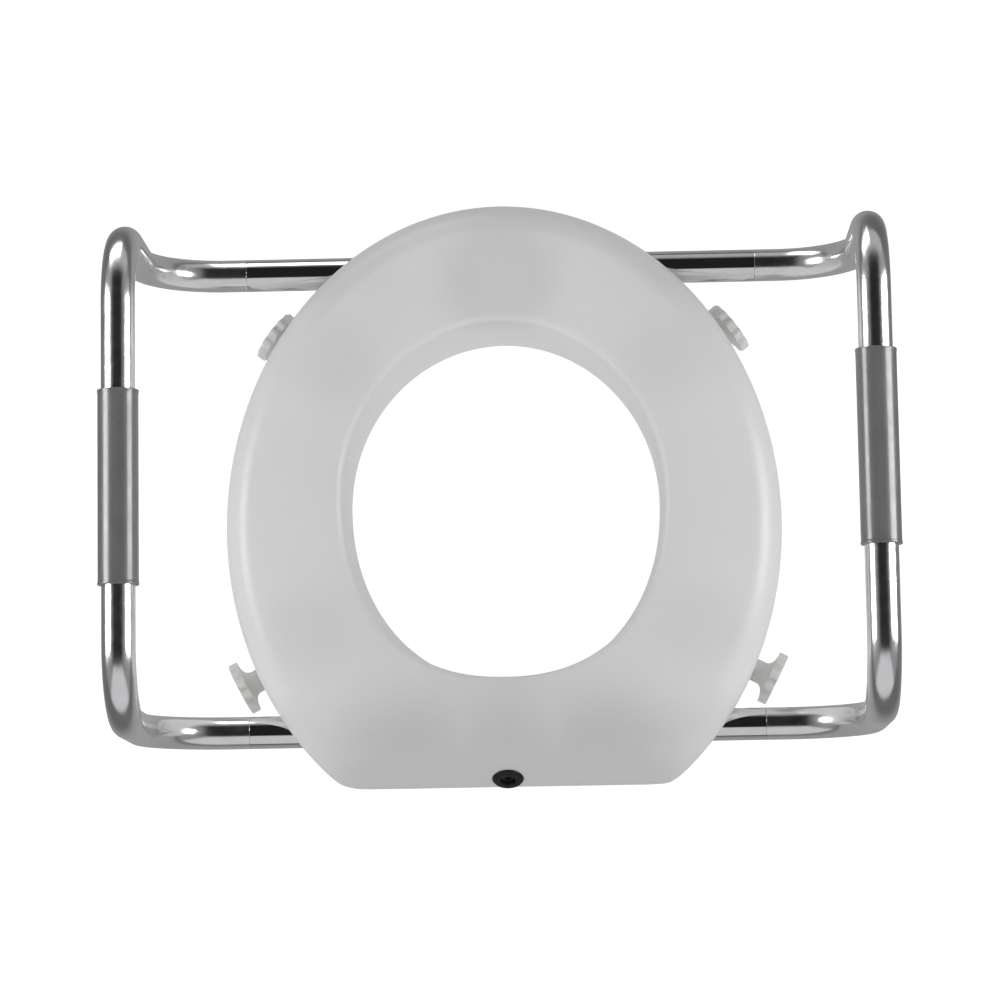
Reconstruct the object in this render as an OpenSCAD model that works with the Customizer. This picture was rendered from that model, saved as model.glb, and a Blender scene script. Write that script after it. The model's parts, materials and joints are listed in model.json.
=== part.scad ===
// Raised toilet seat with two armrests. The moulded seat stands on the rim of a toilet bowl,
// four hand screws grip the rim from outside, and the bent arms plug into two cross tubes that
// run through the seat. Millimetres, +Z up. The front faces -Y; left and right are as seen from
// the front. The origin is under the middle of the seat, level with the skirt's lower edge.

/* [Seat] */
// Width of the moulded seat at its widest
seat_w = 435; // [432:1:438]
// Height of the seat's crown above the skirt's lower edge
seat_h = 120; // [118:1:122]
// Y of the widest line across the seat
seat_mid_y = -23; // [-25:1:-21]
// Length of the seat from its widest line back to its rear edge
seat_rear = 254.2; // [253:0.1:256]
// Length that the front curve would have without its flat
seat_front = 252.2; // [251:0.1:254]
// Distance from the origin forward to the flat front
front_flat = 226; // [224:1:228]
// Wall thickness of the moulding
wall = 4.5; // [4:0.1:5]
// Width of the hole at its upper edge
hole_w = 251; // [248:1:253]

/* [Tubes and arms] */
// Outer diameter of every tube
tube_d = 25.4; // [25:0.1:25.6]
// Wall thickness of every tube
tube_wall = 1.6; // [1.4:0.1:1.8]
// Height of the cross tubes' centre lines
tube_z = 66; // [65:0.5:67]
// Y of the rear cross tube
tube_rear_y = 184.5; // [183:0.5:186]
// Y of the front cross tube
tube_front_y = -180.5; // [-182:0.5:-179]
// Distance from the middle to each end of a cross tube
tube_half_len = 202; // [198:1:206]
// Distance from the middle to the centre line of each armrest
arm_x = 281.6; // [278:0.1:286]
// Height of the armrests' centre lines
arm_z = 254; // [240:1:262]
// Centre-line radius of the bends at the foot of each post
foot_bend_r = 63; // [58:1:66]
// Centre-line radius of the bends at the armrest
top_bend_r = 55; // [50:1:60]

/* [Grips] */
// Outer diameter of the grip sleeves
grip_d = 30.5; // [29.5:0.1:32]
// Length of the grip sleeves
grip_len = 146; // [120:1:160]
// Y of the middle of the left grip
left_grip_y = -10; // [-20:1:20]
// Y of the middle of the right grip
right_grip_y = 9.5; // [-20:0.5:20]

/* [Clamps] */
// Height of the clamp screws
clamp_z = 30; // [29:0.5:31]
// Diameter over the lobes of a hand knob
knob_d = 43.2; // [40:0.1:44]
// Number of lobes on a knob
knob_lobes = 12; // [8:1:14]
// Diameter of the clamp screws
stud_d = 10; // [9:0.5:10.5]

/* [Hidden] */
$fn = 64;

// Left and right as a sign of X
LEFT = -1;
RIGHT = 1;

// Seat outline and section
corner_round = 4;         // softening where the flat front meets the side curves
flat_blend = 36;          // depth over which the shoulder turns into the front slope
skirt_draft = 3;          // how far the skirt's lower edge stands inside its widest level
shoulder_w = 26;          // horizontal width of the rounded shoulder
shoulder_h = 32;          // its height
slope_w = 45;             // its width across the flat front, where it is a broad slope
slope_h = 46;             // its height there
slope_bulge = 1.7;        // 1 would make that slope a plane, 2 an ellipse
dish = 4.5;               // fall of the top from the shoulder to the lip of the hole
lip_r = 7;                // rounding of the lip
wall_low = 8;             // height of the lower edge of the hole's wall
hole_mid_y = -2;          // widest line of the hole's upper edge
hole_rear = 137.5;
hole_front = 141.5;
hole_front_power = 2.3;   // above 2 the front of the hole is squarer than an ellipse
low_w = 247.4;            // the same for the lower edge of the hole's wall
low_mid_y = 1;
low_rear = 132.5;
low_front = 142;
low_front_power = 2.1;
stations = 80;            // sections around the moulding
form_stations = 40;

// Ribs, their rubber pads and the level of the bowl rim
rib_angles = [-25, 0, 30, 60, 90, 120, 150, 180, 205, 242, 298];
rib_t = 5;
rib_low = 46;
rim_level = 42;
rim_pad_len = 40;
rim_pad_w = 11;
rim_pad_h = 8;
rim_pad_gap = 9;          // from the hole's wall to the pad
pad_slack = 0.1;

// Tubes
tube_r = tube_d / 2;
tube_in_r = tube_r - tube_wall;
tube_hole_slack = 0.15;
spigot_len = 55;
spigot_slack = 0.05;
spigot_wall = 1.6;
lock_x = tube_half_len - 24;    // far enough out for the head to stand clear of the skirt
lock_r = 3;
lock_slack = 0.05;
lock_slot_w = 6.8;
lock_head_r = 5.5;
lock_head_h = 3.4;
lock_reach = 4.5;         // how far a lock screw reaches inside the tube's outer surface

// Saddles
saddle_x = 45;
saddle_w = 16;
saddle_t = 2;
saddle_slack = 0.1;
saddle_flange = 28;
saddle_screw_y = 21;
boss_r = 6;
screw_r = 2;
screw_head_r = 4;
screw_head_h = 2.5;
screw_len = 22;

// Clamps: local +Z points outward along the screw, zero at the middle of the knob's disc
front_clamp = [210.1, -142.2, -27];
rear_clamp = [182.2, 140.8, 38];
disc_t = 7.6;
lobe_r = 3.5;
hub_r = 9;
hub_well_r = 9.4;         // counterbore of the boss, which the hub turns in
hub_well_end = -18.2;
hub_end = -17.2;
hub_flare = -10.2;        // where the hub starts to widen towards the disc
insert_r = 7;
insert_top = -20;
insert_flange_r = 10;
insert_flange_t = 2;
clamp_boss_r = 11.5;
clamp_boss_end = -34;
stud_top = -1;
stud_end = -45;
neck_len = 4;
neck_r = 3.5;
neck_slack = 0.08;
stud_slack = 0.05;
pad_back = -45.3;
pad_face = -54;
pad_r = 11;
pad_hub_r = 7;
pad_rubber_t = 4.5;

// Front fixing: the bush stands on a low land of the front slope, in line with the middle of the
// front cross tube, and its screw enters that tube
bush_tilt = 30;
bush_inset = 5;           // from the flat front back to the middle of the bush
bush_reach = (front_flat + tube_front_y - bush_inset) / cos(bush_tilt);
bush_land = 12;           // how deep the land's boss runs into the moulding
bush_flange_r = 12.2;
bush_flange_t = 3;
bush_r = 8;
bush_bore_r = 3.3;
bush_recess_r = 5.9;
bush_recess_d = 9;
bush_slack = 0.1;
front_screw_r = 3;
front_head_r = 5;
front_head_h = 6;
socket_r = 2.9;
socket_d = 3;
tube_nut_r = 4.5;
tube_nut_len = 10;

// Rounds the larger of two numbers, blending over the distance k
function soft_max(a, b, k) = (a + b + sqrt((a - b) * (a - b) + k * k)) / 2;
function clamp01(t) = min(1, max(0, t));
function ease(t) = t * t * (3 - 2 * t);

// Outer outline of the seat at its widest level, by station angle
function outer_y(a) = seat_mid_y + (sin(a) > 0 ? seat_rear : seat_front) * sin(a);
function outer_pt(a) = [seat_w / 2 * cos(a), soft_max(outer_y(a), -front_flat, corner_round)];
// How much of the shoulder is the front slope, 0 at the sides and 1 across the front
function flatness(a) = ease(clamp01((-front_flat - outer_y(a)) / flat_blend + 0.5));

function edge_w(a) = shoulder_w + (slope_w - shoulder_w) * flatness(a);
function shoulder_z(a) = seat_h - shoulder_h - (slope_h - shoulder_h) * flatness(a);

// An oval whose front half may be squarer than an ellipse
function signed_pow(v, p) = sign(v) * pow(abs(v), p);
function oval(a, w, mid_y, rear, front, power) =
    sin(a) >= 0 ? [w / 2 * cos(a), mid_y + rear * sin(a)]
                : [w / 2 * signed_pow(cos(a), 2 / power), mid_y + front * signed_pow(sin(a), 2 / power)];
function hole_pt(a) = oval(a, hole_w, hole_mid_y, hole_rear, hole_front, hole_front_power);
function low_pt(a) = oval(a, low_w, low_mid_y, low_rear, low_front, low_front_power);
function inward(a) = (hole_pt(a) - outer_pt(a)) / norm(hole_pt(a) - outer_pt(a));
function ring_w(a) = norm(hole_pt(a) - outer_pt(a));

// A point of the section at station a: s runs inward from the outer outline
function at_station(a, s, z) = concat(outer_pt(a) + inward(a) * s, z);

// The moulding's skin at station a, lying off inside its outer surface, from the skirt's lower
// edge over the shoulder, top and lip to the lower edge of the hole's wall
function skin(a, off) =
    let (power = 2 - (2 - slope_bulge) * flatness(a), w = ring_w(a), lip_s = w - lip_r,
         lip_z = seat_h - dish - lip_r, skirt_top = shoulder_z(a), edge = edge_w(a))
    concat(
        [for (t = [0, 0.5, 1]) at_station(a, skirt_draft * (1 - t) + off, skirt_top * t)],
        [for (b = [15:15:90]) at_station(a,
            edge - (edge - off) * pow(cos(b), 2 / power),
            skirt_top + (seat_h - skirt_top - off) * pow(sin(b), 2 / power))],
        [for (t = [0.35, 0.7, 1]) at_station(a, edge + (lip_s - edge) * t,
            seat_h - off - dish * t * t)],
        [for (b = [22.5:22.5:90]) at_station(a, lip_s + (lip_r - off) * sin(b),
            lip_z + (lip_r - off) * cos(b))],
        [concat(low_pt(a) - inward(a) * off, wall_low)]
    );

function reversed(v) = [for (i = [len(v) - 1:-1:0]) v[i]];

// Closed ring through equal loops of points, the last joined to the first
module ring_loft(loops) {
    n = len(loops);
    m = len(loops[0]);
    points = [for (loop = loops) each loop];
    faces = [
        for (i = [0:n - 1], j = [0:m - 1])
            let (i2 = (i + 1) % n, j2 = (j + 1) % m)
                each [[i * m + j, i * m + j2, i2 * m + j2], [i * m + j, i2 * m + j2, i2 * m + j]]
    ];
    polyhedron(points = points, faces = faces);
}

// The hollow moulding, open underneath
module moulding() {
    ring_loft([for (i = [0:stations - 1])
        let (a = 360 * i / stations) concat(skin(a, 0), reversed(skin(a, wall)))]);
}

// The same form filled, ending at the middle of the wall, which trims the ribs and bosses
module filled_form() {
    ring_loft([for (i = [0:form_stations - 1]) skin(360 * i / form_stations, wall / 2)]);
}

// Puts children at station a with +X running inward
module at_rib(a) {
    d = inward(a);
    translate(concat(outer_pt(a), 0)) rotate([0, 0, atan2(d.y, d.x)]) children();
}

// Puts children on a clamp's screw line, local +Z pointing outward
module on_clamp(side, spot) {
    translate([side * spot.x, spot.y, clamp_z])
        rotate([0, 90, side > 0 ? spot.z : 180 - spot.z]) children();
}

module on_every_clamp() {
    for (side = [LEFT, RIGHT], spot = [front_clamp, rear_clamp]) on_clamp(side, spot) children();
}

// Puts children on the front screw's line, +Z pointing out of the seat, zero on the land
module on_bush() {
    translate([0, tube_front_y - bush_reach * cos(bush_tilt), tube_z + bush_reach * sin(bush_tilt)])
        rotate([90 - bush_tilt, 0, 0]) children();
}

// Puts children at each end of both saddles' screw rows on one cross tube
module on_saddle_screws(side, y) {
    for (dy = [-saddle_screw_y, saddle_screw_y]) translate([side * saddle_x, y + dy, 0]) children();
}

module along_x(len) {
    rotate([0, 90, 0]) translate([0, 0, -len / 2]) children();
}

module seat_shell() color("#e8e8e4") difference() {
    union() {
        moulding();
        on_bush() translate([0, 0, -bush_land]) cylinder(r = bush_flange_r, h = bush_land);
        intersection() {
            filled_form();
            union() {
                for (a = rib_angles) at_rib(a) translate([-5, -rib_t / 2, rib_low])
                    cube([ring_w(a) + 10, rib_t, seat_h]);
                for (side = [LEFT, RIGHT], y = [tube_rear_y, tube_front_y]) on_saddle_screws(side, y)
                    translate([0, 0, tube_z]) cylinder(r = boss_r, h = seat_h);
                on_every_clamp() translate([0, 0, clamp_boss_end])
                    cylinder(r = clamp_boss_r, h = -clamp_boss_end);
            }
        }
    }
    for (y = [tube_rear_y, tube_front_y]) translate([0, y, tube_z]) along_x(seat_w)
        cylinder(r = tube_r + tube_hole_slack, h = seat_w);
    on_every_clamp() translate([0, 0, clamp_boss_end - 1])
        cylinder(r = insert_r, h = -clamp_boss_end);
    on_every_clamp() translate([0, 0, hub_well_end]) cylinder(r = hub_well_r, h = -hub_well_end);
    on_bush() cylinder(r = bush_flange_r + 0.3, h = 10);
    on_bush() translate([0, 0, -20]) cylinder(r = bush_r + bush_slack, h = 25);
    for (side = [LEFT, RIGHT], y = [tube_rear_y, tube_front_y]) on_saddle_screws(side, y)
        translate([0, 0, tube_z - 1]) cylinder(r = screw_r, h = screw_len - 1);
}

// A straight cross tube with a screw hole under each end
module cross_tube(y) {
    difference() {
        translate([0, y, tube_z]) along_x(2 * tube_half_len) difference() {
            cylinder(r = tube_r, h = 2 * tube_half_len);
            translate([0, 0, -1]) cylinder(r = tube_in_r, h = 2 * tube_half_len + 2);
        }
        for (side = [LEFT, RIGHT]) translate([side * lock_x, y, tube_z - tube_r - 1])
            cylinder(r = lock_r + lock_slack, h = 6);
    }
}

module rear_cross_tube() color("#c9cccf") cross_tube(tube_rear_y);

module front_cross_tube() color("#c9cccf") difference() {
    cross_tube(tube_front_y);
    on_bush() translate([0, 0, -bush_reach + 3]) cylinder(r = tube_nut_r, h = tube_r + 3);
}

// Hollow straight length of tube along +Z
module pipe(len) {
    difference() {
        cylinder(r = tube_r, h = len);
        translate([0, 0, -1]) cylinder(r = tube_in_r, h = len + 2);
    }
}

// Hollow quarter bend that starts at the origin going along +Z and turns towards +X
module elbow(r) {
    translate([r, 0, 0]) rotate([90, 0, 0]) rotate_extrude(angle = 90, start = 90) translate([r, 0])
        difference() {
            circle(r = tube_r);
            circle(r = tube_in_r);
        }
}

// Half of the right arm that ends in one cross tube, drawn for a tube at y = 0 with the
// armrest running towards +Y over the length bar
module arm_half(bar) {
    foot_len = arm_x - foot_bend_r - tube_half_len;
    post_len = arm_z - top_bend_r - tube_z - foot_bend_r;
    // spigot with the open slot that a lock screw runs in
    difference() {
        translate([tube_half_len - spigot_len, 0, 0]) rotate([0, 90, 0])
            cylinder(r = tube_in_r - spigot_slack, h = spigot_len + 2);
        translate([tube_half_len - spigot_len - 1, 0, 0]) rotate([0, 90, 0])
            cylinder(r = tube_in_r - spigot_wall, h = spigot_len + 4);
        translate([lock_x - spigot_len, -lock_slot_w / 2, -tube_r]) cube([spigot_len, lock_slot_w, tube_r]);
        translate([lock_x, 0, -tube_r]) cylinder(d = lock_slot_w, h = tube_r);
    }
    difference() {
        translate([tube_half_len, 0, 0]) rotate([0, 90, 0]) cylinder(r = tube_r, h = foot_len);
        translate([tube_half_len - 1, 0, 0]) rotate([0, 90, 0])
            cylinder(r = tube_in_r - spigot_wall, h = 5);
        translate([tube_half_len + 2, 0, 0]) rotate([0, 90, 0]) cylinder(r = tube_in_r, h = foot_len);
    }
    translate([arm_x - foot_bend_r, 0, 0]) rotate([0, 90, 0]) rotate([0, 0, 180]) elbow(foot_bend_r);
    translate([arm_x, 0, foot_bend_r]) pipe(post_len);
    translate([arm_x, 0, foot_bend_r + post_len]) rotate([0, 0, 90]) elbow(top_bend_r);
    translate([arm_x, top_bend_r, arm_z - tube_z]) rotate([-90, 0, 0]) pipe(bar);
}

module right_arm() {
    bar = (tube_rear_y - tube_front_y) / 2 - top_bend_r;
    translate([0, tube_front_y, tube_z]) arm_half(bar);
    translate([0, tube_rear_y, tube_z]) mirror([0, 1, 0]) arm_half(bar);
}

module left_arm_tube() color("#b4b7ba") mirror([1, 0, 0]) right_arm();
module right_arm_tube() color("#b4b7ba") right_arm();

// Sleeve with a slightly flared rim at each end
module grip(side, y) {
    flare_r = 0.35;
    flare_len = 3;
    translate([side * arm_x, y, arm_z]) rotate([90, 0, 0]) rotate_extrude() polygon([
        [tube_r + 0.02, -grip_len / 2], [grip_d / 2 + flare_r, -grip_len / 2],
        [grip_d / 2 + flare_r, -grip_len / 2 + flare_len / 2], [grip_d / 2, -grip_len / 2 + flare_len],
        [grip_d / 2, grip_len / 2 - flare_len], [grip_d / 2 + flare_r, grip_len / 2 - flare_len / 2],
        [grip_d / 2 + flare_r, grip_len / 2], [tube_r + 0.02, grip_len / 2]
    ]);
}

module left_grip() color("#6a6b6d") grip(LEFT, left_grip_y);
module right_grip() color("#6a6b6d") grip(RIGHT, right_grip_y);

// Hand knob: a lobed disc on a flared hub, bored for its screw
module knob(side, spot) color("#c8c6c0") on_clamp(side, spot) difference() {
    union() {
        translate([0, 0, -disc_t / 2]) cylinder(r = knob_d / 2 - lobe_r * 0.7, h = disc_t);
        for (i = [0:knob_lobes - 1]) rotate([0, 0, 360 * i / knob_lobes])
            translate([knob_d / 2 - lobe_r, 0, -disc_t / 2]) cylinder(r = lobe_r, h = disc_t);
        rotate_extrude() polygon([
            [0, hub_end], [hub_r, hub_end], [hub_r, hub_flare], [hub_r + 0.6, hub_flare + 2],
            [hub_r + 2.2, hub_flare + 3.8], [hub_r + 4.8, hub_flare + 5], [hub_r + 8.6, -disc_t / 2],
            [0, -disc_t / 2]
        ]);
    }
    translate([0, 0, hub_end - 1]) cylinder(r = stud_d / 2, h = stud_top - hub_end + 1);
}

// Clamp screw with the reduced neck that its pad swivels on
module stud(side, spot) color("#9a9c9e") on_clamp(side, spot) {
    translate([0, 0, stud_end]) cylinder(r = stud_d / 2, h = stud_top - stud_end);
    translate([0, 0, stud_end - neck_len]) cylinder(r = neck_r, h = neck_len + 1);
}

// Swivel pad: a moulded cup with a thick face that bears on the bowl rim
module pad(side, spot) color("#2c2c2e") on_clamp(side, spot) difference() {
    union() {
        translate([0, 0, pad_face]) cylinder(r = pad_r, h = pad_rubber_t);
        translate([0, 0, pad_face]) cylinder(r = pad_hub_r, h = pad_back - pad_face);
    }
    translate([0, 0, stud_end - neck_len - 0.3]) cylinder(r = neck_r + neck_slack, h = 20);
}

module front_left_knob() knob(LEFT, front_clamp);
module front_right_knob() knob(RIGHT, front_clamp);
module rear_left_knob() knob(LEFT, rear_clamp);
module rear_right_knob() knob(RIGHT, rear_clamp);
module front_left_stud() stud(LEFT, front_clamp);
module front_right_stud() stud(RIGHT, front_clamp);
module rear_left_stud() stud(LEFT, rear_clamp);
module rear_right_stud() stud(RIGHT, rear_clamp);
module front_left_pad() pad(LEFT, front_clamp);
module front_right_pad() pad(RIGHT, front_clamp);
module rear_left_pad() pad(LEFT, rear_clamp);
module rear_right_pad() pad(RIGHT, rear_clamp);

// Brass inserts that the clamp screws turn in, flanged on the inner side to take the thrust
module clamp_inserts() color("#b59a55") on_every_clamp() difference() {
    union() {
        translate([0, 0, clamp_boss_end]) cylinder(r = insert_r, h = insert_top - clamp_boss_end);
        translate([0, 0, clamp_boss_end - insert_flange_t])
            cylinder(r = insert_flange_r, h = insert_flange_t);
    }
    translate([0, 0, clamp_boss_end - 10]) cylinder(r = stud_d / 2 + stud_slack, h = 40);
}

// Strap that holds a cross tube up against the moulded bosses
module saddle(side, y) color("#8f9295") translate([side * saddle_x - saddle_w / 2, y, tube_z]) {
    inner_r = tube_r + saddle_slack;
    outer_r = inner_r + saddle_t;
    rotate([90, 0, 90]) rotate_extrude(angle = 180, start = 180)
        translate([inner_r, 0]) square([saddle_t, saddle_w]);
    for (dir = [0, 1]) mirror([0, dir, 0]) difference() {
        translate([0, inner_r + saddle_t / 2, -saddle_t])
            cube([saddle_w, saddle_flange - inner_r - saddle_t / 2, saddle_t]);
        translate([saddle_w / 2, saddle_screw_y, -saddle_t - 1]) cylinder(r = screw_r + 0.2, h = 4);
    }
}

module rear_left_saddle() saddle(LEFT, tube_rear_y);
module rear_right_saddle() saddle(RIGHT, tube_rear_y);
module front_left_saddle() saddle(LEFT, tube_front_y);
module front_right_saddle() saddle(RIGHT, tube_front_y);

module saddle_screws() color("#7c7f82")
    for (side = [LEFT, RIGHT], y = [tube_rear_y, tube_front_y]) on_saddle_screws(side, y)
        translate([0, 0, tube_z - saddle_t]) {
            translate([0, 0, -screw_head_h]) cylinder(r = screw_head_r, h = screw_head_h);
            translate([0, 0, -0.5]) cylinder(r = screw_r, h = screw_len);
        }

// Screws under the tube ends; each runs in its arm's slot and clamps the spigot
module arm_lock_screws() color("#7c7f82")
    for (side = [LEFT, RIGHT], y = [tube_rear_y, tube_front_y])
        translate([side * lock_x, y, tube_z - tube_r]) {
            translate([0, 0, -lock_head_h - 0.1]) cylinder(r = lock_head_r, h = lock_head_h);
            translate([0, 0, -1]) cylinder(r = lock_r, h = lock_reach + 1);
        }

// Rubber channels clipped on the ribs' lower edges, which stand on the bowl rim
module rim_pads() color("#3a3b3d") for (a = rib_angles) at_rib(a)
    translate([ring_w(a) - wall - rim_pad_gap - rim_pad_len, 0, rim_level]) difference() {
        translate([0, -rim_pad_w / 2, 0]) cube([rim_pad_len, rim_pad_w, rim_pad_h]);
        translate([-1, -rib_t / 2 - pad_slack, rib_low - rim_level])
            cube([rim_pad_len + 2, rib_t + 2 * pad_slack, rim_pad_h]);
    }

// Flanged bush between the sloped face and the front cross tube
module front_bush() color("#141415") on_bush() difference() {
    union() {
        cylinder(r = bush_flange_r, h = bush_flange_t);
        translate([0, 0, -bush_reach + tube_r + 0.2]) cylinder(r = bush_r, h = bush_reach - tube_r);
    }
    translate([0, 0, bush_flange_t - bush_recess_d]) cylinder(r = bush_recess_r, h = bush_recess_d + 1);
    translate([0, 0, -bush_reach]) cylinder(r = bush_bore_r, h = bush_reach);
}

// Socket-head screw in the bush, which threads into the nut in the front tube
module front_screw() color("#1d1d1f") on_bush() translate([0, 0, bush_flange_t - bush_recess_d])
    difference() {
        union() {
            cylinder(r = front_head_r, h = front_head_h);
            translate([0, 0, -bush_reach + bush_recess_d - bush_flange_t + 4])
                cylinder(r = front_screw_r, h = bush_reach - 5);
        }
        translate([0, 0, front_head_h - socket_d]) cylinder(r = socket_r, h = socket_d + 1, $fn = 6);
    }

// Rivet nut in the front tube
module front_tube_nut() color("#9a9c9e") on_bush() translate([0, 0, -bush_reach + tube_r])
    difference() {
        translate([0, 0, -tube_nut_len + 0.1]) cylinder(r = tube_nut_r, h = tube_nut_len);
        translate([0, 0, -tube_nut_len - 1]) cylinder(r = front_screw_r + 0.05, h = tube_nut_len + 3);
    }

seat_shell();
rear_cross_tube();
front_cross_tube();
left_arm_tube();
right_arm_tube();
left_grip();
right_grip();
front_left_knob();
front_right_knob();
rear_left_knob();
rear_right_knob();
front_left_stud();
front_right_stud();
rear_left_stud();
rear_right_stud();
front_left_pad();
front_right_pad();
rear_left_pad();
rear_right_pad();
clamp_inserts();
rear_left_saddle();
rear_right_saddle();
front_left_saddle();
front_right_saddle();
saddle_screws();
arm_lock_screws();
rim_pads();
front_bush();
front_screw();
front_tube_nut();
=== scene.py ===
"""Raised toilet seat with armrests: the looks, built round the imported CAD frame.

Sizes are in millimetres, as on a drawing, and turned into metres by MM when a mesh is made.
Left and right are as seen from the front, which faces -Y.
"""
import json
import math

import bmesh
import bpy
import numpy as np
from mathutils import Matrix, Vector


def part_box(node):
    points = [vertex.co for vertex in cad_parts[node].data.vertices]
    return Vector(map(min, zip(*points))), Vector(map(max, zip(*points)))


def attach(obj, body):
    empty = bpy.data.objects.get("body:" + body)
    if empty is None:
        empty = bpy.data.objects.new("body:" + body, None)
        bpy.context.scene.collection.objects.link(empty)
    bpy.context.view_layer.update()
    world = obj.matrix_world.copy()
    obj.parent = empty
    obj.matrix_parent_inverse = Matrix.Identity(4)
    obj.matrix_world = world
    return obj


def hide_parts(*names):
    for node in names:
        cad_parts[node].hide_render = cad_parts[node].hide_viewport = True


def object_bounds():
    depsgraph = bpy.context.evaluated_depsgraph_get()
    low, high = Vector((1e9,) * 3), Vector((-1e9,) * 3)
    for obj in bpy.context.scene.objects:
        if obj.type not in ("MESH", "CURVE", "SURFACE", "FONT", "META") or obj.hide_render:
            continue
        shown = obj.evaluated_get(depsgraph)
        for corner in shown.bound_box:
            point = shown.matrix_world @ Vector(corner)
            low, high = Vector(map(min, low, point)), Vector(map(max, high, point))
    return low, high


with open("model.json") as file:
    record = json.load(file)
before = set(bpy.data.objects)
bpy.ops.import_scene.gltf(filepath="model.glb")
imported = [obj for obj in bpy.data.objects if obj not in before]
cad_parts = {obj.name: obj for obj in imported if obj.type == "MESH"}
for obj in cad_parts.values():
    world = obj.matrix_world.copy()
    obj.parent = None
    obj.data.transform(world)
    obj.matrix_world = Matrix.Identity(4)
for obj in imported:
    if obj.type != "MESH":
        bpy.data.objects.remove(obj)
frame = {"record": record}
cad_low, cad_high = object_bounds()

MM = 0.001
LEFT, RIGHT = -1, 1
SIDE_NAME = {LEFT: "left", RIGHT: "right"}
TAU = 2 * math.pi
SHARP_ANGLE = math.radians(35)       # edges that turn more than this stay hard


# ---------------- where things are, from the frame

def low(node):
    return np.array(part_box(node)[0]) / MM


def high(node):
    return np.array(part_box(node)[1]) / MM


def middle(node):
    return (low(node) + high(node)) / 2


SEAT_W = high("seat_shell")[0] * 2
SEAT_H = high("seat_shell")[2]
TUBE_R = (high("rear_cross_tube")[2] - low("rear_cross_tube")[2]) / 2
TUBE_Z = middle("rear_cross_tube")[2]
REAR_Y = middle("rear_cross_tube")[1]
FRONT_Y = middle("front_cross_tube")[1]
TUBE_HALF = high("rear_cross_tube")[0]
ARM_X = high("right_arm_tube")[0] - TUBE_R
ARM_Z = high("right_arm_tube")[2] - TUBE_R
JOINTS = {joint["name"]: joint for joint in frame["record"]["behaviour"]["joints"]}


# ---------------- mesh helpers

def at(x, y, z):
    return Matrix.Translation((x, y, z))


def mesh_object(name, verts, faces, place=None):
    """A mesh object from points in millimetres, set in place by a matrix that is also in mm."""
    points = np.asarray(verts, dtype=float)
    if place is not None:
        points = points @ np.array(place.to_3x3()).T + np.array(place.translation)
    mesh = bpy.data.meshes.new(name)
    mesh.from_pydata((points * MM).tolist(), [], faces)
    mesh.validate()
    obj = bpy.data.objects.new(name, mesh)
    bpy.context.scene.collection.objects.link(obj)
    return obj


def ring_faces(rings, count, closed=True):
    """Quads between neighbouring rings of equal point counts; closed joins the last ring to the first."""
    faces = []
    for i in range(rings if closed else rings - 1):
        i2 = (i + 1) % rings
        for j in range(count):
            j2 = (j + 1) % count
            faces.append((i * count + j, i2 * count + j, i2 * count + j2, i * count + j2))
    return faces


def stations(count):
    """Angles that divide a full turn equally."""
    return [TAU * i / count for i in range(count)]


def lathe(name, profile, segments=96, place=None, wobble=None):
    """Turns a closed outline of (radius, height) points round +Z. Points at radius 0 become one vertex,
    and wobble(angle, radius, height) adds to the other points' radius."""
    verts, rings = [], []
    for r, z in profile:
        if r < 1e-6:
            rings.append([len(verts)] * segments)
            verts.append((0, 0, z))
            continue
        rings.append(range(len(verts), len(verts) + segments))
        for a in stations(segments):
            rr = r if wobble is None else r + wobble(a, r, z)
            verts.append((rr * math.cos(a), rr * math.sin(a), z))
    faces = []
    for k, here in enumerate(rings):
        after = rings[(k + 1) % len(rings)]
        for s in range(segments):
            s2 = (s + 1) % segments
            corners = tuple(dict.fromkeys((here[s], here[s2], after[s2], after[s])))
            if len(corners) > 2:
                faces.append(corners)
    return tidy_normals(mesh_object(name, verts, faces, place))


def tidy_normals(obj):
    bm = bmesh.new()
    bm.from_mesh(obj.data)
    bmesh.ops.remove_doubles(bm, verts=bm.verts, dist=1e-7)
    bmesh.ops.recalc_face_normals(bm, faces=bm.faces)
    bm.to_mesh(obj.data)
    bm.free()
    return obj


def boolean(target, tool, operation):
    """Applies one exact boolean to target and removes the tool."""
    modifier = target.modifiers.new("cut", "BOOLEAN")
    modifier.operation = operation
    modifier.solver = "EXACT"
    modifier.object = tool
    graph = bpy.context.evaluated_depsgraph_get()
    result = bpy.data.meshes.new_from_object(target.evaluated_get(graph))
    target.modifiers.clear()
    old = target.data
    target.data = result
    bpy.data.meshes.remove(old)
    bpy.data.objects.remove(tool)
    return target


def join(name, objects):
    """One object from several, keeping their meshes as separate solids."""
    bm = bmesh.new()
    for obj in objects:
        bm.from_mesh(obj.data)
    mesh = bpy.data.meshes.new(name)
    bm.to_mesh(mesh)
    bm.free()
    for obj in objects:
        bpy.data.objects.remove(obj)
    whole = bpy.data.objects.new(name, mesh)
    bpy.context.scene.collection.objects.link(whole)
    return whole


# ---------------- the moulded seat

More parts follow.
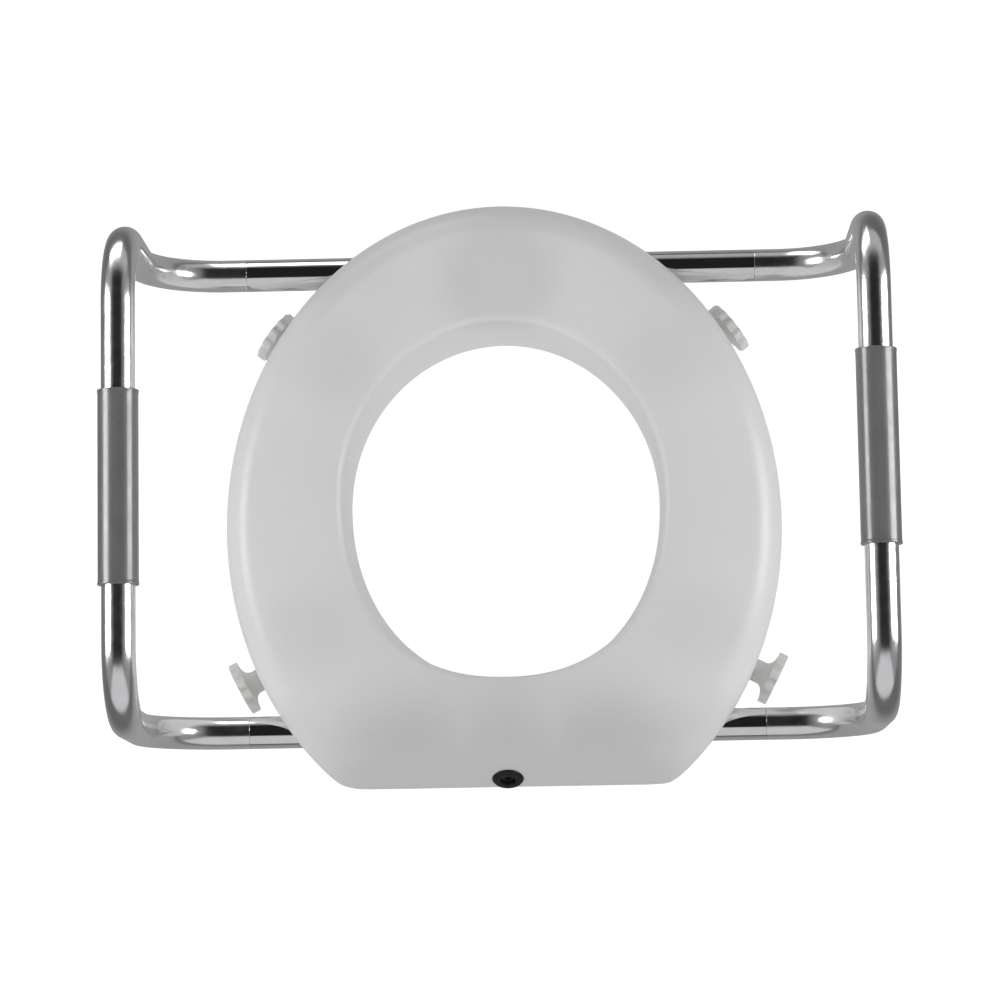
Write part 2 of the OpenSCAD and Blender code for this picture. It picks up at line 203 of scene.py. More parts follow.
# The section and outlines of the moulding, as the CAD draws them
WALL = 4.5
MID_Y, REAR_LEN, FRONT_LEN, FRONT_FLAT = -23, 254.2, 252.2, 226
CORNER_ROUND, FLAT_BLEND = 4, 36
SKIRT_DRAFT, SHOULDER_W, SHOULDER_H = 3, 26, 32
SLOPE_W, SLOPE_H, SLOPE_BULGE = 45, 46, 1.7
DISH, LIP_R, WALL_LOW = 4.5, 7, 8
HOLE = dict(width=251, mid_y=-2, rear=137.5, front=141.5, power=2.3)
HOLE_LOW = dict(width=247.4, mid_y=1, rear=132.5, front=142, power=2.1)
RIB_ANGLES = (-25, 0, 30, 60, 90, 120, 150, 180, 205, 242, 298)
RIB_T, RIB_LOW, RIM_LEVEL = 5, 46, 42
SADDLE_X, SADDLE_SCREW_Y, SCREW_BOSS_R = 45, 21, 6
TUBE_HOLE_SLACK, BUSH_SLACK, LAND_SLACK = 0.15, 0.1, 0.3


def soft_max(a, b, k):
    return (a + b + math.sqrt((a - b) ** 2 + k * k)) / 2


def outer_y(a):
    return MID_Y + (REAR_LEN if math.sin(a) > 0 else FRONT_LEN) * math.sin(a)


def outer_point(a):
    return np.array((SEAT_W / 2 * math.cos(a), soft_max(outer_y(a), -FRONT_FLAT, CORNER_ROUND)))


def flatness(a):
    t = min(1, max(0, (-FRONT_FLAT - outer_y(a)) / FLAT_BLEND + 0.5))
    return t * t * (3 - 2 * t)


def edge_width(a):
    return SHOULDER_W + (SLOPE_W - SHOULDER_W) * flatness(a)


def shoulder_z(a):
    return SEAT_H - SHOULDER_H - (SLOPE_H - SHOULDER_H) * flatness(a)


def oval_point(a, width, mid_y, rear, front, power):
    c, s = math.cos(a), math.sin(a)
    if s >= 0:
        return np.array((width / 2 * c, mid_y + rear * s))
    bend = 2 / power
    return np.array((width / 2 * math.copysign(abs(c) ** bend, c), mid_y - front * abs(s) ** bend))


def station(a):
    """Outer point, inward direction and ring width at a station angle."""
    outer, inner = outer_point(a), oval_point(a, **HOLE)
    span = np.linalg.norm(inner - outer)
    return outer, (inner - outer) / span, span


def skin(a, off, fine=1):
    """The moulding's skin at station a, off inside its outer surface, from the skirt's lower edge
    over the shoulder, top and lip to the lower edge of the hole's wall."""
    outer, inward, width = station(a)
    power, skirt_top = 2 - (2 - SLOPE_BULGE) * flatness(a), shoulder_z(a)
    lip_s, lip_z = width - LIP_R, SEAT_H - DISH - LIP_R
    low_point = oval_point(a, **HOLE_LOW) - inward * off
    shoulder = edge_width(a)
    rows = []

    def add(s, z):
        rows.append((*(outer + inward * s), z))

    edge = WALL / 2
    for t in np.linspace(edge / skirt_top, 1, 6 * fine):
        add(SKIRT_DRAFT * (1 - t) + off, skirt_top * t)
    for b in np.linspace(0, math.pi / 2, 8 * fine + 1)[1:]:
        add(shoulder - (shoulder - off) * max(math.cos(b), 0) ** (2 / power),
            skirt_top + (SEAT_H - skirt_top - off) * math.sin(b) ** (2 / power))
    for t in np.linspace(0, 1, 5 * fine + 1)[1:]:
        add(shoulder + (lip_s - shoulder) * t, SEAT_H - off - DISH * t * t)
    lean = math.atan(2 * DISH / (lip_s - shoulder))
    for b in np.linspace(lean, math.pi / 2, 5 * fine + 1)[1:]:
        add(lip_s + (LIP_R - off) * math.sin(b), lip_z + (LIP_R - off) * math.cos(b))
    lip_end = np.array(rows[-1])
    wall_end = np.array((*low_point, WALL_LOW + edge))
    for t in np.linspace(0, 1, 6 * fine + 1)[1:]:
        rows.append(tuple(lip_end + (wall_end - lip_end) * t))
    return rows


def rounded_end(from_point, to_point, steps):
    """Half a circle that closes the lower edge between the two skins of the wall."""
    a, b = np.array(from_point), np.array(to_point)
    centre, half = (a + b) / 2, (a - b) / 2
    drop = np.array((0, 0, -np.linalg.norm(half)))
    return [tuple(centre + half * math.cos(t) + drop * math.sin(t))
            for t in np.linspace(0, math.pi, steps + 1)[1:-1]]


def section(a, fine):
    outside, inside = skin(a, 0, fine), skin(a, WALL, fine)
    return (outside + rounded_end(outside[-1], inside[-1], 3 * fine)
            + inside[::-1] + rounded_end(inside[0], outside[0], 3 * fine))


def ring_loft(name, sections):
    verts = [p for rows in sections for p in rows]
    return tidy_normals(mesh_object(name, verts, ring_faces(len(sections), len(sections[0]))))


def cylinder(radius, length, place, segments=64):
    """A plain cutting cylinder along local +Z."""
    return lathe("cutter", [(0, 0), (radius, 0), (radius, length), (0, length)], segments, place)


def drill(target, radius, length, place, segments=64):
    boolean(target, cylinder(radius, length, place, segments), "DIFFERENCE")


def box_solid(size, place):
    x, y, z = size
    corners = [(i * x, j * y, k * z) for k in (0, 1) for j in (0, 1) for i in (0, 1)]
    faces = [(0, 2, 3, 1), (4, 5, 7, 6), (0, 1, 5, 4), (2, 6, 7, 3), (0, 4, 6, 2), (1, 3, 7, 5)]
    return mesh_object("block", corners, faces, place)


def at_station(a):
    """Local axes at a station, with +X running inward."""
    outer, inward, _ = station(a)
    return at(*outer, 0) @ Matrix.Rotation(math.atan2(inward[1], inward[0]), 4, "Z")


def along(point, direction):
    """Local +Z along a direction, at a point."""
    turn = Vector(direction).to_track_quat("Z", "Y").to_matrix().to_4x4()
    return at(*point) @ turn


def clamp_frame(end, side):
    """Local +Z outward along a clamp's screw, with its origin in the middle of the knob's disc."""
    joint = JOINTS[f"{end}_{SIDE_NAME[side]}_knob_turn"]
    return along(np.array(joint["pos_m"]) / MM, joint["axis"])


CLAMPS = [(end, side) for end in ("front", "rear") for side in (LEFT, RIGHT)]
BOSS_R, BOSS_END, INSERT_R = 11.5, -34, 7
WELL_R, WELL_END = 9.4, -18.2        # counterbore that a knob's hub turns in

# The front bush stands on a low land of the front slope, in line with the middle of the front tube
BUSH_TILT, BUSH_INSET, BUSH_LAND = math.radians(30), 5, 12
BUSH_FLANGE_R, BUSH_FLANGE_T, BUSH_R, RECESS_R, RECESS_D = 12.2, 3, 8, 5.9, 9
BUSH_REACH = (FRONT_FLAT + FRONT_Y - BUSH_INSET) / math.cos(BUSH_TILT)
BUSH_AXIS = np.array((0, -math.cos(BUSH_TILT), math.sin(BUSH_TILT)))
BUSH_FRAME = along(np.array((0, FRONT_Y, TUBE_Z)) + BUSH_AXIS * BUSH_REACH, BUSH_AXIS)


def seat_moulding():
    shell = ring_loft("seat_moulding", [section(a, 2) for a in stations(288)])
    form = ring_loft("form", [skin(a, WALL / 2) for a in stations(96)])
    solids = []
    for degrees in RIB_ANGLES:
        a = math.radians(degrees)
        place = at_station(a) @ at(-5, -RIB_T / 2, RIB_LOW)
        solids.append(box_solid((station(a)[2] + 10, RIB_T, SEAT_H), place))
    for side in (LEFT, RIGHT):
        for y in (REAR_Y, FRONT_Y):
            for dy in (-SADDLE_SCREW_Y, SADDLE_SCREW_Y):
                place = at(side * SADDLE_X, y + dy, TUBE_Z)
                solids.append(cylinder(SCREW_BOSS_R, SEAT_H, place))
    for end, side in CLAMPS:
        solids.append(cylinder(BOSS_R, -BOSS_END, clamp_frame(end, side) @ at(0, 0, BOSS_END)))
    inner_parts = boolean(join("inner_parts", solids), form, "INTERSECT")
    boolean(shell, inner_parts, "UNION")
    land = BUSH_FRAME @ at(0, 0, -BUSH_LAND)
    boolean(shell, cylinder(BUSH_FLANGE_R, BUSH_LAND, land, 96), "UNION")
    for y in (REAR_Y, FRONT_Y):
        place = along((-SEAT_W / 2, y, TUBE_Z), (1, 0, 0))
        drill(shell, TUBE_R + TUBE_HOLE_SLACK, SEAT_W, place)
    for end, side in CLAMPS:
        place = clamp_frame(end, side) @ at(0, 0, BOSS_END - 1)
        drill(shell, INSERT_R, -BOSS_END, place)
        well = clamp_frame(end, side) @ at(0, 0, WELL_END)
        drill(shell, WELL_R, -WELL_END, well)
    drill(shell, BUSH_FLANGE_R + LAND_SLACK, 10, BUSH_FRAME, 96)
    bore = BUSH_FRAME @ at(0, 0, -20)
    drill(shell, BUSH_R + BUSH_SLACK, 25, bore, 48)
    return shell


# ---------------- tubes

WALL_T = 1.6
TUBE_IN_R = TUBE_R - WALL_T
FOOT_R, TOP_R = 63, 55               # bend radii at the foot of each post and at the armrest
SPIGOT_LEN, SPIGOT_R, SPIGOT_IN_R = 55, TUBE_IN_R - 0.05, TUBE_IN_R - WALL_T
LOCK_X, LOCK_R, SLOT_W = TUBE_HALF - 24, 3, 6.8
NUT_HOLE_R = 4.55
END_BREAK = 0.25                     # chamfer on every tube end
END_LAND = END_BREAK + 0.3           # where the plain tube begins, which keeps the chamfer crisp
BREAK_STEPS = ((END_BREAK, 0), (END_BREAK * 0.3, END_BREAK * 0.35), (0, END_BREAK), (0, END_LAND))
FLATTENING = 0.5                     # how far the inside of a bend is drawn flat


def cross_tube(name, y):
    length = 2 * TUBE_HALF
    profile = [(TUBE_IN_R + 0.2, 0)] + [(TUBE_R - inset, z) for inset, z in BREAK_STEPS]
    back = [(r, length - z) for r, z in reversed(profile)]
    along_it = [(TUBE_R, z) for z in np.linspace(0, length, 68)[1:-1]]
    bore = [(TUBE_IN_R, length - 0.3), (TUBE_IN_R, 0.3)]
    tube = lathe(name, profile + along_it + back + bore, 128, along((-TUBE_HALF, y, TUBE_Z), (1, 0, 0)))
    for side in (LEFT, RIGHT):
        place = at(side * LOCK_X, y, TUBE_Z - TUBE_R - 1)
        drill(tube, LOCK_R + 0.05, 6, place, 32)
    return tube


def quarter(centre, start, end, steps):
    """Points round a quarter circle from start to end, without the first."""
    u, v = start - centre, end - centre
    return [centre + u * math.cos(t) + v * math.sin(t) for t in np.linspace(0, math.pi / 2, steps + 1)[1:]]


def straight(a, b, steps):
    return [a + (b - a) * t for t in np.linspace(0, 1, steps + 1)[1:]]


def half_arm_path():
    """Centre line of the right arm's front half, from the tube's end to the middle of the armrest, with
    each point's bend centre, or None on a straight stretch."""
    points = [np.array((TUBE_HALF, FRONT_Y, TUBE_Z))]
    centres = [None]

    def run(new, centre=None):
        points.extend(new)
        centres.extend([centre] * len(new))

    knee = ARM_X - FOOT_R
    run(straight(points[-1], np.array((knee, FRONT_Y, TUBE_Z)), 3))
    centre = np.array((knee, FRONT_Y, TUBE_Z + FOOT_R))
    run(quarter(centre, points[-1], np.array((ARM_X, FRONT_Y, TUBE_Z + FOOT_R)), 32), centre)
    run(straight(points[-1], np.array((ARM_X, FRONT_Y, ARM_Z - TOP_R)), 8))
    centre = np.array((ARM_X, FRONT_Y + TOP_R, ARM_Z - TOP_R))
    run(quarter(centre, points[-1], np.array((ARM_X, FRONT_Y + TOP_R, ARM_Z)), 32), centre)
    run(straight(points[-1], np.array((ARM_X, (FRONT_Y + REAR_Y) / 2, ARM_Z)), 10))
    return points, centres


def arm_path():
    """The right arm's whole centre line: the front half, then its mirror image at the rear."""
    points, centres = half_arm_path()
    middle_y = (FRONT_Y + REAR_Y) / 2

    def flip(p):
        return None if p is None else np.array((p[0], 2 * middle_y - p[1], p[2]))

    return points + [flip(p) for p in points[-2::-1]], centres + [flip(c) for c in centres[-2::-1]]


def bend_share(centres, k):
    """1 in the middle of a bend, falling smoothly to 0 at its ends and on the straights."""
    if centres[k] is None:
        return 0
    same = [i for i, c in enumerate(centres) if c is not None and np.allclose(c, centres[k])]
    return math.sin(math.pi * (k - same[0] + 1) / (len(same) + 1))


def arm_tube(side, count=96):
    """A bent tube, slightly flattened inside its bends as a drawn tube is, with a slotted spigot at each
    end that is hollow all the way through."""
    path, centres = arm_path()
    tangents = [path[min(k + 1, len(path) - 1)] - path[max(k - 1, 0)] for k in range(len(path))]
    tangents = [t / np.linalg.norm(t) for t in tangents]
    frames = []
    normal = np.array((0.0, 1.0, 0.0))
    for t in tangents:
        normal = normal - t * (normal @ t)
        normal /= np.linalg.norm(normal)
        frames.append((normal, np.cross(t, normal)))

    def ring(k, radius, shift=0.0):
        p = path[k] + tangents[k] * shift
        u, v = frames[k]
        share = bend_share(centres, k)
        inward = None if share == 0 else (centres[k] - p) / np.linalg.norm(centres[k] - p)
        points = []
        for j in range(count):
            d = u * math.cos(TAU * j / count) + v * math.sin(TAU * j / count)
            r = radius
            if inward is not None:
                r -= share * FLATTENING * max(0.0, float(d @ inward)) ** 4
            points.append(p + d * r)
        return points

    last = len(path) - 1
    outside = [ring(0, SPIGOT_R - END_BREAK, -SPIGOT_LEN), ring(0, SPIGOT_R, -SPIGOT_LEN + END_BREAK),
               ring(0, SPIGOT_R)]
    outside += [ring(0, TUBE_R - inset, shift) for inset, shift in BREAK_STEPS]
    outside += [ring(k, TUBE_R) for k in range(1, last)]
    outside += [ring(last, TUBE_R - inset, -shift) for inset, shift in BREAK_STEPS[::-1]]
    outside += [ring(last, SPIGOT_R), ring(last, SPIGOT_R, SPIGOT_LEN - END_BREAK),
                ring(last, SPIGOT_R - END_BREAK, SPIGOT_LEN)]
    inside = [ring(last, SPIGOT_IN_R, SPIGOT_LEN), ring(last, SPIGOT_IN_R, -2), ring(last, TUBE_IN_R, -4)]
    inside += [ring(k, TUBE_IN_R) for k in range(last - 1, 0, -1)]
    inside += [ring(0, TUBE_IN_R, 4), ring(0, SPIGOT_IN_R, 2), ring(0, SPIGOT_IN_R, -SPIGOT_LEN)]
    rings = outside + inside
    mirror = np.array((side, 1, 1))
    verts = [p * mirror for r in rings for p in r]
    tube = tidy_normals(mesh_object(f"{SIDE_NAME[side]}_arm", verts, ring_faces(len(rings), count)))
    for y in (FRONT_Y, REAR_Y):
        start = at(side * LOCK_X, y, TUBE_Z - TUBE_R)
        cut = box_solid((SPIGOT_LEN, SLOT_W, TUBE_R), start @ Matrix.Translation(
            (-SPIGOT_LEN if side == RIGHT else 0, -SLOT_W / 2, 0)))
        boolean(tube, cut, "DIFFERENCE")
        drill(tube, SLOT_W / 2, TUBE_R, start, 32)
    return tube


def grip_sleeve(side):
    node = f"{SIDE_NAME[side]}_grip"
    lo, hi = low(node), high(node)
    length = hi[1] - lo[1]
    flared = (hi[0] - lo[0]) / 2
    outer, inner = flared - 0.35, TUBE_R + 0.02
    half = [(inner + 0.35, 0), (flared - 0.5, 0), (flared - 0.12, 0.15), (flared, 0.55), (flared, 1.1),
            (flared - 0.08, 1.7), (outer + 0.1, 2.4), (outer, 3.2)]
    other = [(r, length - z) for r, z in reversed(half)]
    profile = half + [(outer, length * t) for t in (0.1, 0.3, 0.5, 0.7, 0.9)] + other
    profile += [(inner, length - 0.4), (inner, 0.4)]
    place = along((side * ARM_X, lo[1], ARM_Z), (0, 1, 0))
    return lathe(f"{SIDE_NAME[side]}_grip_sleeve", profile, 128, place)


# ---------------- clamps

KNOB_R = np.linalg.norm((high("front_right_knob") - low("front_right_knob"))[2]) / 2
LOBES, LOBE_R, DISC_T = 12, 3.5, 7.6
HUB_R, HUB_END, HUB_FLARE = 9, -17.2, -10.2
STUD_R, STUD_TOP, STUD_END = 5, -1, -45
NECK_R, NECK_LEN = 3.5, 4
PITCH, THREAD_DEPTH, RUN_OUT = 3.0, 0.9, 0.4
STEPS_PER_TURN = 8
KNURL_FACETS = 96
PAD_BACK, PAD_FACE, PAD_R, PAD_HUB_R, PAD_RUBBER_T = -45.3, -54, 11, 7, 4.5


def lobed(a, r, z):
    """How far the knob's edge lies inside its full radius between two lobes."""
    if r < KNOB_R * 0.8:
        return 0
    off = (a + TAU / LOBES / 2) % (TAU / LOBES) - TAU / LOBES / 2
    seat, valley = KNOB_R - LOBE_R, KNOB_R - LOBE_R * 0.7
    under = LOBE_R ** 2 - (seat * math.sin(off)) ** 2
    lobe = seat * math.cos(off) + math.sqrt(under) if under > 0 else valley - 1
    edge = soft_max(lobe, valley, 0.4)
    return (edge - KNOB_R) * (r - KNOB_R * 0.8) / (KNOB_R * 0.2)


def hand_knob(end, side):
    half = DISC_T / 2
    rim = KNOB_R - 0.12
    outline = [(STUD_R + 0.05, HUB_END + 0.5), (STUD_R + 0.5, HUB_END), (HUB_R - 0.9, HUB_END),
               (HUB_R - 0.25, HUB_END + 0.25), (HUB_R, HUB_END + 0.9), (HUB_R, HUB_FLARE),
               (HUB_R + 0.15, HUB_FLARE + 1), (HUB_R + 0.6, HUB_FLARE + 2.1), (HUB_R + 1.3, HUB_FLARE + 3.1),
               (HUB_R + 2.4, HUB_FLARE + 4.1), (HUB_R + 3.8, HUB_FLARE + 4.9), (HUB_R + 5.6, HUB_FLARE + 5.6),
               (HUB_R + 7.4, -half - 0.35), (HUB_R + 8.4, -half), (rim - 1, -half),
               (rim - 0.35, -half + 0.12), (rim - 0.08, -half + 0.4), (rim, -half + 0.9),
               (rim, half - 1.1), (rim - 0.12, half - 0.5), (rim - 0.5, half - 0.2), (rim - 1.3, half),
               (15.6, half), (15.1, half - 0.15), (14.8, half - 0.5), (14.4, half - 0.8),
               (8.6, half - 0.8), (8.1, half - 0.7), (7.8, half - 0.4), (7.4, half - 0.15),
               (6.6, half - 0.05), (3.5, half), (0, half), (0, STUD_TOP), (STUD_R + 0.05, STUD_TOP)]
    return lathe(f"{end}_{SIDE_NAME[side]}_hand_knob", outline, LOBES * 16, clamp_frame(end, side),
                 wobble=lobed)


def clamp_screw(end, side):
    """A screw with a real helical thread, and the plain reduced neck that its pad swivels on."""
    start, run = STUD_END + RUN_OUT, STUD_TOP - STUD_END - 2 * RUN_OUT
    steps = int((STUD_TOP - STUD_END) / PITCH * STEPS_PER_TURN)

    def thread(a, r, z):
        if r != STUD_R:
            return 0
        step = (z - start) / run * steps
        phase = (z / PITCH - a / TAU) % 1
        flank = min(1, max(0, 2.5 - abs(phase - 0.5) * 7))
        return THREAD_DEPTH * (flank * min(1, step / 6, (steps - step) / 6) - 1)

    foot, root = STUD_END - NECK_LEN, STUD_R - THREAD_DEPTH
    profile = [(0, foot), (NECK_R - 0.4, foot), (NECK_R, foot + 0.4), (NECK_R, STUD_END), (root, STUD_END)]
    profile += [(STUD_R, start + run * k / steps) for k in range(steps + 1)]
    profile += [(root, STUD_TOP), (0, STUD_TOP)]
    name = f"{end}_{SIDE_NAME[side]}_clamp_screw"
    return lathe(name, profile, 48, clamp_frame(end, side), wobble=thread)


def knurl(radius, depth, every):
    """A wobble that sinks one facet in every few of the surface at a radius."""
    def groove(a, r, z):
        return -depth if r == radius and round(a / TAU * KNURL_FACETS) % every == 0 else 0
    return groove


def swivel_pad(end, side):
    cup = PAD_FACE + PAD_RUBBER_T
    bore_end = STUD_END - NECK_LEN - 0.3
    outline = [(NECK_R + 0.08, bore_end), (NECK_R + 0.08, PAD_BACK - 0.4), (NECK_R + 0.5, PAD_BACK),
               (PAD_HUB_R - 0.9, PAD_BACK), (PAD_HUB_R - 0.25, PAD_BACK - 0.25), (PAD_HUB_R, PAD_BACK - 0.9),
               (PAD_HUB_R, cup + 1), (PAD_HUB_R + 0.3, cup + 0.3), (PAD_HUB_R + 1, cup),
               (PAD_R - 1.2, cup), (PAD_R - 0.35, cup - 0.35), (PAD_R, cup - 1.2), (PAD_R, PAD_FACE + 1.4),
               (PAD_R - 0.4, PAD_FACE + 0.4), (PAD_R - 1.4, PAD_FACE)]
    for groove in (8.0, 5.6, 3.2):
        outline += [(groove + 0.5, PAD_FACE), (groove + 0.3, PAD_FACE + 0.6), (groove - 0.3, PAD_FACE + 0.6),
                    (groove - 0.5, PAD_FACE)]
    outline += [(0, PAD_FACE), (0, bore_end)]
    return lathe(f"{end}_{SIDE_NAME[side]}_swivel_pad", outline, 72, clamp_frame(end, side))


def insert(end, side):
    """A flanged brass insert with a knurled barrel."""
    flange, top = 10, -20
    outline = [(STUD_R + 0.35, BOSS_END - 2), (flange - 0.5, BOSS_END - 2), (flange, BOSS_END - 1.5),
               (flange, BOSS_END - 0.1), (flange - 0.1, BOSS_END), (INSERT_R, BOSS_END),
               (INSERT_R, top - 0.6), (INSERT_R - 0.6, top), (STUD_R + 0.35, top),
               (STUD_R + 0.05, top - 0.3), (STUD_R + 0.05, BOSS_END - 1.7)]
    return lathe(f"{end}_{SIDE_NAME[side]}_insert", outline, KNURL_FACETS, clamp_frame(end, side),
                 wobble=knurl(INSERT_R, 0.25, 4))


# ---------------- fixings under the seat

def prism(name, outline, length, place, chamfer):
    """Extrudes a closed (y, z) outline along local +X, with its end edges broken."""
    outline = np.array(outline, float)
    count = len(outline)
    ahead, behind = np.roll(outline, -1, axis=0), np.roll(outline, 1, axis=0)
    edge = ahead - behind
    normal = np.stack([edge[:, 1], -edge[:, 0]], axis=1)
    normal /= np.linalg.norm(normal, axis=1)[:, None]
    area = np.sum(outline[:, 0] * ahead[:, 1] - ahead[:, 0] * outline[:, 1])
    small = outline - normal * chamfer * math.copysign(1, area)
    layers = [(0, small), (chamfer, outline), (length - chamfer, outline), (length, small)]
    verts = [(x, y, z) for x, loop in layers for y, z in loop]
    faces = ring_faces(len(layers), count, closed=False)
    faces.append(tuple(range(count)))
    faces.append(tuple(range(len(verts) - 1, len(verts) - count - 1, -1)))
    return tidy_normals(mesh_object(name, verts, faces, place))


SADDLE_W, SADDLE_T, SADDLE_FLANGE = 16, 2, 28
SCREW_R, SCREW_HEAD_R, SCREW_HEAD_H, SCREW_LEN = 2, 4, 2.5, 22


def saddle_strap(end, side):
    inner = TUBE_R + 0.1
    outer = inner + SADDLE_T
    root = 1.6                        # radius inside the bend between strap and flange

    def flange(way):
        """From the strap's outer side round the flange's tip to its upper side."""
        lower = [(way * (outer + root * (1 - math.cos(t))), -SADDLE_T - root * (1 - math.sin(t)))
                 for t in np.linspace(0, math.pi / 2, 6)]
        tip = [(way * (SADDLE_FLANGE - 0.4), -SADDLE_T), (way * SADDLE_FLANGE, -SADDLE_T + 0.4),
               (way * SADDLE_FLANGE, -0.4), (way * (SADDLE_FLANGE - 0.4), 0)]
        return lower + tip

    arc_steps = np.linspace(math.pi + 0.28, TAU - 0.28, 41)
    outline = [(outer * math.cos(t), outer * math.sin(t)) for t in arc_steps]
    outline += flange(1)
    outline += [(inner + 0.6, 0), (inner, -0.6)]
    outline += [(inner * math.cos(t), inner * math.sin(t)) for t in arc_steps[::-1]]
    outline += [(-inner, -0.6), (-inner - 0.6, 0)]
    outline += flange(-1)[::-1]
    y = REAR_Y if end == "rear" else FRONT_Y
    place = at(side * SADDLE_X - SADDLE_W / 2, y, TUBE_Z)
    strap = prism(f"{end}_{SIDE_NAME[side]}_saddle_strap", outline, SADDLE_W, place, 0.35)
    for dy in (-SADDLE_SCREW_Y, SADDLE_SCREW_Y):
        hole = at(side * SADDLE_X, y + dy, TUBE_Z - SADDLE_T - 1)
        drill(strap, SCREW_R + 0.2, 4, hole, 32)
    return strap


def cross_recess(depth, reach, width, place):
    """A cross-shaped cutter below local z = 0."""
    corner = at(-reach, -width / 2, -depth)
    blades = [box_solid((2 * reach, width, depth + 0.5), place @ Matrix.Rotation(turn, 4, "Z") @ corner)
              for turn in (0, math.pi / 2)]
    return boolean(blades[0], blades[1], "UNION")


def pan_screw(name, y, x):
    """A cross-recessed pan-head screw, head down, under a saddle flange."""
    place = at(x, y, TUBE_Z - SADDLE_T) @ Matrix.Rotation(math.pi, 4, "X")
    head = SCREW_HEAD_H
    outline = [(0, head), (1.6, head - 0.02), (2.6, head - 0.2), (3.4, head - 0.65), (3.85, head - 1.3),
               (SCREW_HEAD_R, head - 2), (SCREW_HEAD_R, 0.1), (SCREW_HEAD_R - 0.1, 0), (SCREW_R, 0),
               (SCREW_R, -2)]
    pitch, root, crest = 0.9, SCREW_R - 0.4, SCREW_R - 0.02
    for k in range(int((SCREW_LEN - 5) / pitch)):
        z = -2.4 - pitch * k
        outline += [(root, z), (crest, z - 0.35), (crest, z - 0.45), (root, z - 0.8)]
    outline += [(0, -SCREW_LEN + 0.5)]
    screw = lathe(name, outline, 40, place)
    recess = cross_recess(1.5, 1.9, 0.8, place @ at(0, 0, head))
    return boolean(screw, recess, "DIFFERENCE")


def socket_cut(radius, depth, place):
    """A hexagonal cutter with a drill point, below local z = 0."""
    outline = [(0, 0.5), (radius, 0.5), (radius, -depth), (0, -depth - radius * 0.35)]
    return lathe("hexagon", outline, 6, place)


def lock_screw(name, side, y):
    """The knurled socket screw under a tube's end that clamps the arm's spigot."""
    under_tube = at(side * LOCK_X, y, TUBE_Z - TUBE_R - 0.1)
    place = under_tube @ Matrix.Rotation(math.pi, 4, "X")
    radius, height = 5.5, 3.4
    outline = [(0, height), (radius - 0.8, height), (radius - 0.25, height - 0.3), (radius, height - 0.7),
               (radius, 0.4), (radius - 0.4, 0), (LOCK_R, 0), (LOCK_R, -4.2), (LOCK_R - 0.4, -4.6), (0, -4.6)]
    screw = lathe(name, outline, KNURL_FACETS, place, wobble=knurl(radius, 0.22, 3))
    return boolean(screw, socket_cut(2.3, 1.8, place @ at(0, 0, height)), "DIFFERENCE")


def rim_channel(index, degrees):
    """A rubber channel clipped on a rib's lower edge, with drainage grooves across its foot."""
    a = math.radians(degrees)
    edge, height, length = 5.5, 8, 40
    slot, rise = RIB_T / 2 + 0.1, RIB_LOW - RIM_LEVEL
    start = station(a)[2] - WALL - 9 - length
    half = [(edge - 0.8, 0), (edge - 0.2, 0.25), (edge, 0.9), (edge, height - 1),
            (edge - 0.3, height - 0.25), (edge - 1, height), (slot + 0.5, height), (slot, height - 0.5),
            (slot, rise)]
    outline = half + [(-y, z) for y, z in reversed(half)]
    place = at_station(a) @ at(start, 0, RIM_LEVEL)
    pad = prism(f"rim_channel_{index + 1}", outline, length, place, 0.5)
    for k in range(1, 8):
        corner = at(length * k / 8 - 0.6, -edge - 1, -0.6)
        boolean(pad, box_solid((1.2, 2 * edge + 2, 1.6), place @ corner), "DIFFERENCE")
    return pad


# ---------------- front fixing

def front_bush():
    foot = -BUSH_REACH + TUBE_R + 0.2
    top = BUSH_FLANGE_T
    outline = [(RECESS_R, top - 0.7), (RECESS_R + 0.25, top - 0.2), (RECESS_R + 0.7, top),
               (BUSH_FLANGE_R - 3.2, top), (BUSH_FLANGE_R - 2, top - 0.3), (BUSH_FLANGE_R - 1, top - 0.95),
               (BUSH_FLANGE_R - 0.3, top - 1.9), (BUSH_FLANGE_R, top - 2.5),
               (BUSH_FLANGE_R, 0.2), (BUSH_FLANGE_R - 0.2, 0), (BUSH_R, 0), (BUSH_R, foot + 0.5),
               (BUSH_R - 0.5, foot), (3.6, foot), (3.3, foot + 0.3), (3.3, top - RECESS_D),
               (RECESS_R, top - RECESS_D)]
    return lathe("front_bush_moulding", outline, 96, BUSH_FRAME)


def front_screw():
    place = BUSH_FRAME @ at(0, 0, BUSH_FLANGE_T - RECESS_D)
    radius, height = 5, 6
    foot = -BUSH_REACH + RECESS_D - BUSH_FLANGE_T + 4
    outline = [(0, height), (radius - 0.7, height), (radius - 0.2, height - 0.2), (radius, height - 0.6),
               (radius, 0.3), (radius - 0.3, 0), (3, 0), (3, foot + 8)]
    for k in range(8):
        z = foot + 7.5 - k
        outline += [(2.55, z), (2.98, z - 0.4), (2.98, z - 0.55), (2.55, z - 0.95)]
    outline += [(0, foot - 0.4)]
    screw = lathe("front_cap_screw", outline, KNURL_FACETS, place, wobble=knurl(radius, 0.2, 3))
    return boolean(screw, socket_cut(2.9, 3, place @ at(0, 0, height)), "DIFFERENCE")


def tube_nut():
    place = BUSH_FRAME @ at(0, 0, -BUSH_REACH + TUBE_R)
    outline = [(3.3, 0.1), (4.3, 0.1), (4.5, -0.1), (4.5, -9.6), (4.2, -9.9), (3.3, -9.9),
               (3.05, -9.6), (3.05, -0.2)]
    return lathe("front_rivet_nut", outline, 48, place)


# ---------------- materials

def new_material(name, sockets):
    """A material with a Principled shader whose sockets are set; returns it, its tree and the shader."""
    material = bpy.data.materials.new(name)
    material.use_nodes = True
    tree = material.node_tree
    shader = tree.nodes["Principled BSDF"]
    for socket, value in sockets.items():
        shader.inputs[socket].default_value = value
    return material, tree, shader


